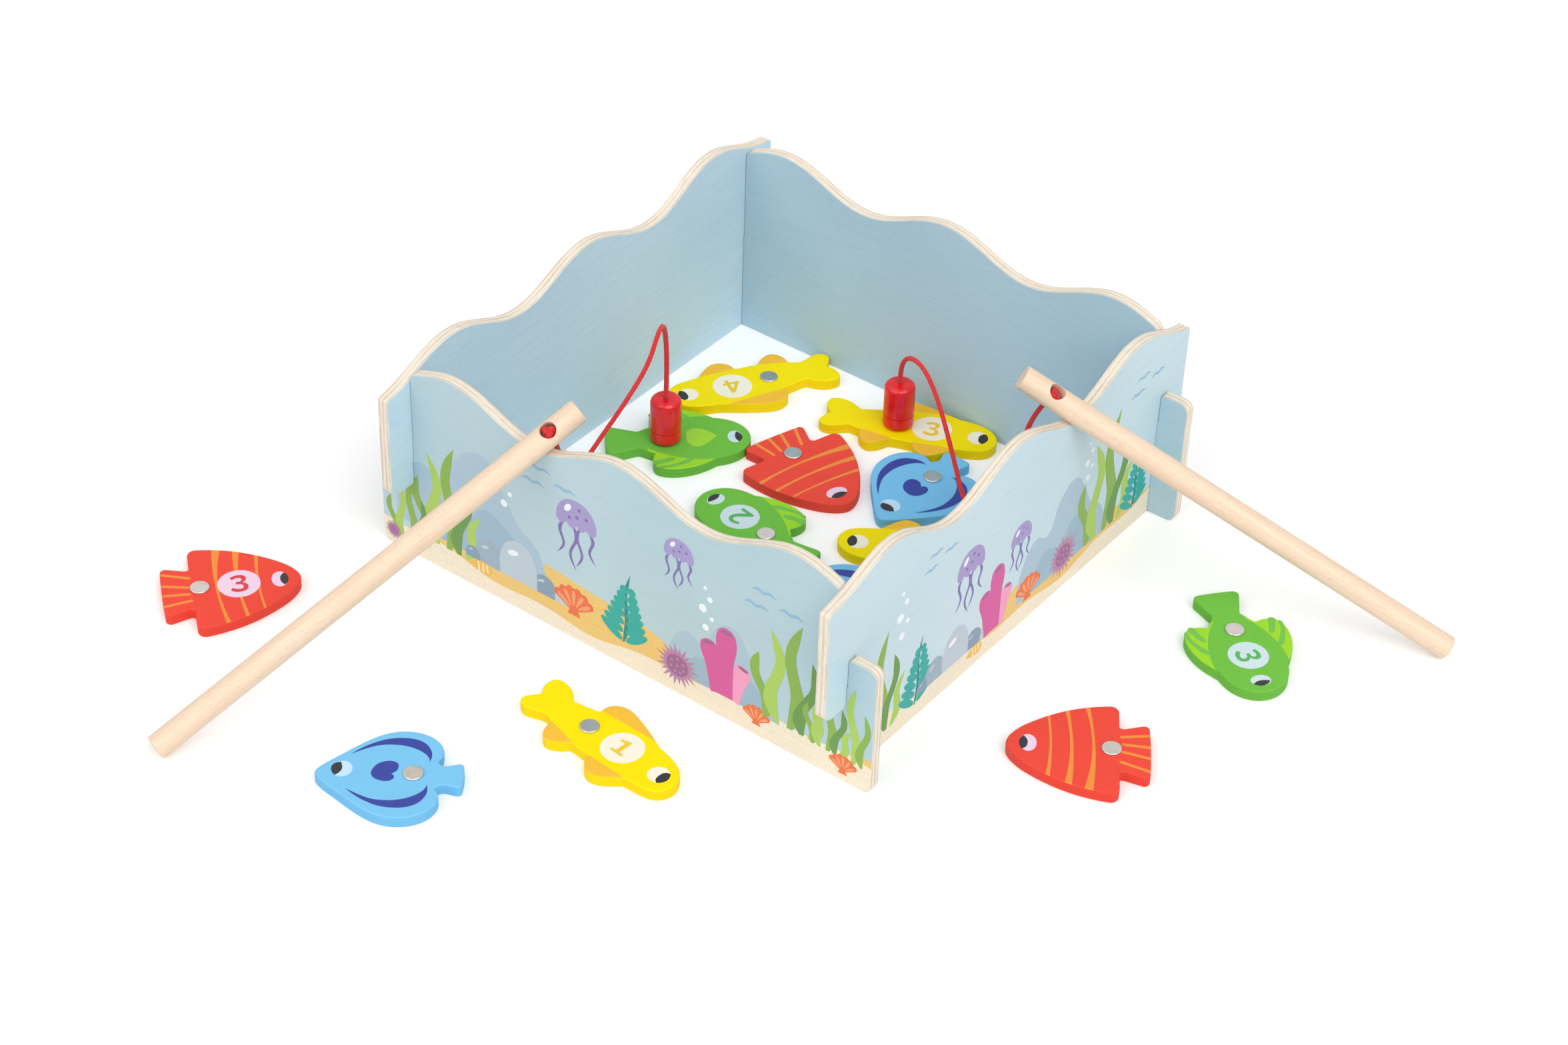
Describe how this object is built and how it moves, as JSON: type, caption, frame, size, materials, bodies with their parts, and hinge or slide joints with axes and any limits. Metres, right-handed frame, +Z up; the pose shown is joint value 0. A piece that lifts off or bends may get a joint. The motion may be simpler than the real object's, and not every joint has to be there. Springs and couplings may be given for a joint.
{
  "type": "magnetic fishing game",
  "caption": "Wooden fishing game: slotted plywood panels form a wave-edged pond, with painted fish, steel discs and rods with magnets on cords.",
  "frame": {"origin": "centre of the pond on the surface it stands on", "axes": "+X along the front panel, +Y from the front panel to the rear panel, +Z up"},
  "size_m": [0.5118, 0.4624, 0.1267],
  "materials": {
    "plywood": "printed satin plywood",
    "beech": "smooth natural beech",
    "red_cord": "braided",
    "red_lacquer": "gloss",
    "magnet": "satin",
    "steel": "nickel plated",
    "red_paint": "satin paint",
    "blue_paint": "satin paint",
    "green_paint": "satin paint",
    "yellow_paint": "satin paint"
  },
  "bodies": {
    "root": {"panel_front": "plywood", "panel_rear": "plywood", "panel_left": "plywood", "panel_right": "plywood", "rod_left": "beech", "rod_knot_left": "red_cord", "line_left": "red_cord", "magnet_cap_left": "red_lacquer", "magnet_base_left": "red_lacquer", "magnet_left": "magnet", "magnet_knot_left": "red_cord", "rod_right": "beech", "rod_knot_right": "red_cord", "line_right": "red_cord", "magnet_cap_right": "red_lacquer", "magnet_base_right": "red_lacquer", "magnet_right": "magnet", "magnet_knot_right": "red_cord", "red_fish_1": "red_paint", "red_fish_1_disc": "steel", "red_fish_2": "red_paint", "red_fish_2_disc": "steel", "red_fish_3": "red_paint", "red_fish_3_disc": "steel", "blue_fish_1": "blue_paint", "blue_fish_1_disc": "steel", "blue_fish_2": "blue_paint", "blue_fish_2_disc": "steel", "blue_fish_3": "blue_paint", "blue_fish_3_disc": "steel", "green_fish_1": "green_paint", "green_fish_1_disc": "steel", "green_fish_2": "green_paint", "green_fish_2_disc": "steel", "green_fish_3": "green_paint", "green_fish_3_disc": "steel", "yellow_fish_1": "yellow_paint", "yellow_fish_1_disc": "steel", "yellow_fish_2": "yellow_paint", "yellow_fish_2_disc": "steel", "yellow_fish_3": "yellow_paint", "yellow_fish_3_disc": "steel", "yellow_fish_4": "yellow_paint", "yellow_fish_4_disc": "steel"}
  },
  "joints": []
}
